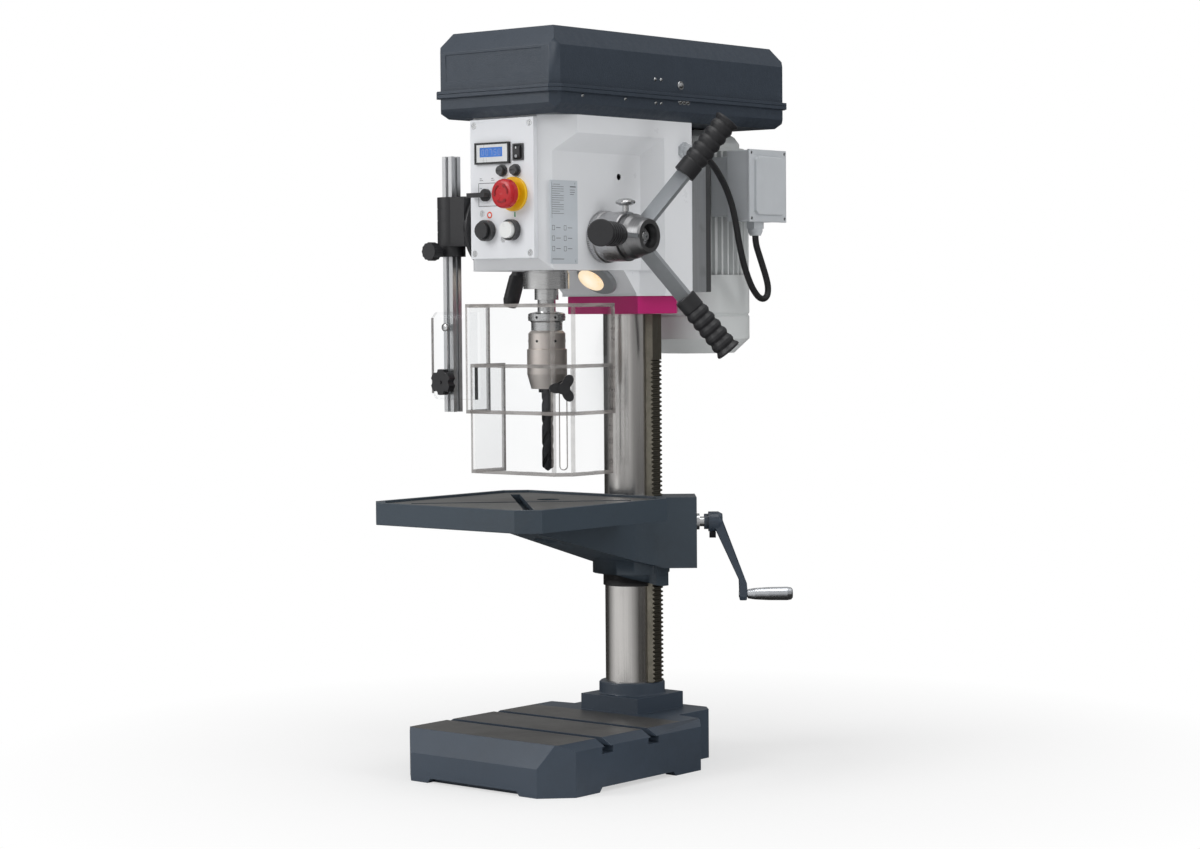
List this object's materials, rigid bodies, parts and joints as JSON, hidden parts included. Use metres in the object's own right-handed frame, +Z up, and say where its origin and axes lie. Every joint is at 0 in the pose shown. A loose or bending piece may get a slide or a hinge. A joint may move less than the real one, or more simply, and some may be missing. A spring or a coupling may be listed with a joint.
{
  "type": "bench drill press",
  "caption": "Pillar drill with belt cover, rack-lifted table, three-arm quill feed, keyless chuck and a clear sliding chuck guard.",
  "frame": {"origin": "axis of the pillar, on the surface that the base stands on", "axes": "+Z up along the pillar, -Y towards the operator, +X to the operator's right"},
  "size_m": [0.3986, 0.632, 1.0185],
  "materials": {
    "grey_paint": "slate blue-grey enamel",
    "ground_steel": "ground bright",
    "dark_steel": "blackened steel",
    "white_paint": "white enamel",
    "magenta_paint": "magenta enamel",
    "panel_paint": "white enamel sheet",
    "machined_steel": "turned steel",
    "black_plastic": "moulded",
    "stop_yellow": "yellow moulding",
    "plate_aluminium": "anodised",
    "motor_paint": "light grey enamel",
    "lamp_glass": "frosted, lit",
    "belt_rubber": "wrapped",
    "bracket_paint": "light grey enamel",
    "box_plastic": "light grey",
    "gland_plastic": "light grey and black",
    "cable_rubber": "sheathed",
    "cover_plastic": "grained dark slate plastic",
    "rack_steel": "milled steel",
    "table_paint": "slate blue-grey enamel, machined top",
    "handle_aluminium": "turned",
    "stop_red": "red",
    "white_plastic": "white",
    "drill_black": "black oxide",
    "sleeve_steel": "bead blasted",
    "hub_iron": "turned",
    "grip_rubber": "moulded",
    "pulley_aluminium": "cast",
    "bar_aluminium": "extruded, anodised",
    "clear_sheet": "clear polycarbonate"
  },
  "bodies": {
    "frame": {"base_casting": "grey_paint", "column_tube": "ground_steel", "clamp_screws": "dark_steel", "head_casting": "white_paint", "column_clamp_block": "magenta_paint", "front_panel": "panel_paint", "panel_screws": "machined_steel", "speed_counter": "black_plastic", "switch_bezels": "black_plastic", "stop_collar": "stop_yellow", "data_plate": "plate_aluminium", "lamp_housing": "motor_paint", "lamp_lens": "lamp_glass", "drive_belt": "belt_rubber", "motor_bracket": "bracket_paint", "motor_body": "motor_paint", "motor_fan_cover": "motor_paint", "terminal_box": "motor_paint", "terminal_box_lid": "box_plastic", "cable_glands": "gland_plastic", "motor_cable": "cable_rubber", "cover_tray": "cover_plastic", "guard_mount": "black_plastic"},
    "rack": {"column_rack": "rack_steel"},
    "table": {"table_casting": "table_paint"},
    "clamp_lever": {"table_clamp_lever": "dark_steel"},
    "lift_shaft": {"lift_pinion_shaft": "machined_steel"},
    "crank": {"crank_shaft": "machined_steel", "crank_arm": "grey_paint", "crank_arm_screw": "dark_steel"},
    "handle": {"crank_handle": "handle_aluminium"},
    "rocker": {"rocker_switch": "black_plastic"},
    "selector": {"selector_knob": "black_plastic"},
    "stop_button": {"emergency_stop_button": "stop_red"},
    "black_button": {"off_button": "black_plastic"},
    "white_button": {"on_button": "white_plastic"},
    "quill_body": {"quill": "machined_steel", "spindle_bearings": "machined_steel"},
    "spindle_body": {"spindle": "machined_steel", "chuck_body": "machined_steel", "chuck_jaws": "machined_steel", "drill_bit": "drill_black"},
    "sleeve": {"chuck_sleeve": "sleeve_steel"},
    "feed": {"feed_pinion_shaft": "machined_steel", "feed_hub": "hub_iron", "feed_arms": "machined_steel", "feed_grips": "grip_rubber"},
    "ring": {"depth_ring": "machined_steel"},
    "ring_knob": {"depth_ring_knob": "machined_steel"},
    "lever": {"speed_lever": "black_plastic"},
    "pulley": {"spindle_pulley": "pulley_aluminium"},
    "rotor": {"motor_rotor": "dark_steel"},
    "lid": {"cover_lid": "cover_plastic"},
    "collar": {"guard_collar": "black_plastic"},
    "height_knob": {"guard_height_knob": "black_plastic"},
    "bar": {"guard_bar": "bar_aluminium", "guard_upper_sheet": "clear_sheet"},
    "bar_knob": {"guard_bar_knob": "black_plastic"},
    "lower_sheet": {"guard_lower_sheet": "clear_sheet"},
    "wing_knob": {"guard_wing_knob": "black_plastic"}
  },
  "joints": [
    {"name": "table_swing", "type": "hinge", "parent": "frame", "child": "rack", "pos_m": [0, 0, 0.35], "axis": [0, 0, 1], "range_deg": [-90, 90]},
    {"name": "table_lift", "type": "slide", "parent": "rack", "child": "table", "axis": [0, 0, 1], "range_m": [-0.137, 0.03]},
    {"name": "crank_turn", "type": "hinge", "parent": "table", "child": "crank", "pos_m": [0.0605, 0.02591, 0.3384], "axis": [0.766, 0.6428, 0], "range_deg": [-2860, 13080]},
    {"name": "lift_pinion_turn", "type": "hinge", "parent": "table", "child": "lift_shaft", "pos_m": [0.0606, 0.026, 0.318], "axis": [0, 1, 0], "range_deg": [-144, 655]},
    {"name": "crank_handle_spin", "type": "hinge", "parent": "crank", "child": "handle", "pos_m": [0.14246, 0.09469, 0.2344], "axis": [0.766, 0.6428, 0], "continuous": true},
    {"name": "clamp_lever_turn", "type": "hinge", "parent": "table", "child": "clamp_lever", "pos_m": [-0.03606, 0.0601, 0.322], "axis": [-0.7071, -0.7071, 0], "range_deg": [-45, 45]},
    {"name": "rocker_tilt", "type": "hinge", "parent": "frame", "child": "rocker", "pos_m": [0.0305, -0.265, 0.853], "axis": [1, 0, 0], "range_deg": [-8, 8]},
    {"name": "selector_turn", "type": "hinge", "parent": "frame", "child": "selector", "pos_m": [-0.028, -0.27, 0.797], "axis": [0, 1, 0], "range_deg": [0, 90]},
    {"name": "stop_press", "type": "slide", "parent": "frame", "child": "stop_button", "axis": [0, 1, 0], "range_m": [0, 0.004], "stiffness_N_per_m": 1500, "springref_m": -0.003},
    {"name": "black_press", "type": "slide", "parent": "frame", "child": "black_button", "axis": [0, 1, 0], "range_m": [0, 0.0035], "stiffness_N_per_m": 700, "springref_m": -0.002},
    {"name": "white_press", "type": "slide", "parent": "frame", "child": "white_button", "axis": [0, 1, 0], "range_m": [0, 0.0035], "stiffness_N_per_m": 700, "springref_m": -0.002},
    {"name": "quill_feed", "type": "slide", "parent": "frame", "child": "quill_body", "axis": [0, 0, -1], "range_m": [0, 0.1], "stiffness_N_per_m": 350, "springref_m": -0.3},
    {"name": "feed_turn", "type": "hinge", "parent": "frame", "child": "feed", "pos_m": [0.1, -0.143, 0.74], "axis": [1, 0, 0], "range_deg": [0, 478]},
    {"name": "depth_ring_turn", "type": "hinge", "parent": "feed", "child": "ring", "pos_m": [0.09, -0.143, 0.74], "axis": [1, 0, 0], "range_deg": [-150, 150]},
    {"name": "depth_ring_knob_turn", "type": "hinge", "parent": "ring", "child": "ring_knob", "pos_m": [0.111, -0.143, 0.785], "axis": [0, 0, 1], "range_deg": [0, 720]},
    {"name": "motor_spin", "type": "hinge", "parent": "frame", "child": "rotor", "pos_m": [0, 0.155, 0.8], "axis": [0, 0, 1], "continuous": true},
    {"name": "pulley_spin", "type": "hinge", "parent": "frame", "child": "pulley", "pos_m": [0, -0.18, 0.93], "axis": [0, 0, 1], "continuous": true},
    {"name": "spindle_spin", "type": "hinge", "parent": "quill_body", "child": "spindle_body", "pos_m": [0, -0.18, 0.7], "axis": [0, 0, 1], "continuous": true},
    {"name": "chuck_sleeve_turn", "type": "hinge", "parent": "spindle_body", "child": "sleeve", "pos_m": [0, -0.18, 0.57], "axis": [0, 0, 1], "range_deg": [-360, 360]},
    {"name": "speed_lever_swing", "type": "hinge", "parent": "frame", "child": "lever", "pos_m": [-0.1, -0.095, 0.745], "axis": [1, 0, 0], "range_deg": [0, 60]},
    {"name": "lid_open", "type": "hinge", "parent": "frame", "child": "lid", "pos_m": [-0.1195, -0.03, 0.935], "axis": [0, -1, 0], "range_deg": [0, 95]},
    {"name": "guard_swing", "type": "hinge", "parent": "frame", "child": "collar", "pos_m": [-0.138, -0.221, 0.757], "axis": [0, 0, 1], "range_deg": [-100, 0]},
    {"name": "guard_height_knob_turn", "type": "hinge", "parent": "collar", "child": "height_knob", "pos_m": [-0.138, -0.262, 0.723], "axis": [0, 1, 0], "range_deg": [0, 720]},
    {"name": "guard_lift", "type": "slide", "parent": "collar", "child": "bar", "axis": [0, 0, 1], "range_m": [-0.03, 0.04]},
    {"name": "guard_bar_knob_turn", "type": "hinge", "parent": "bar", "child": "bar_knob", "pos_m": [-0.138, -0.24, 0.542], "axis": [0, 1, 0], "range_deg": [0, 720]},
    {"name": "lower_sheet_slide", "type": "slide", "parent": "bar", "child": "lower_sheet", "axis": [0, 0, 1], "range_m": [0, 0.08]},
    {"name": "wing_knob_turn", "type": "hinge", "parent": "bar", "child": "wing_knob", "pos_m": [0.08875, -0.24975, 0.537], "axis": [0.7071, -0.7071, 0], "range_deg": [0, 720]}
  ],
  "couplings": [
    {"joint": "table_lift", "follows": "crank_turn", "m_per_rad": -0.0006},
    {"joint": "lift_pinion_turn", "follows": "crank_turn", "ratio": 0.05},
    {"joint": "feed_turn", "follows": "quill_feed", "rad_per_m": 83.333},
    {"joint": "pulley_spin", "follows": "motor_spin", "ratio": 0.66667},
    {"joint": "spindle_spin", "follows": "motor_spin", "ratio": 0.66667}
  ]
}
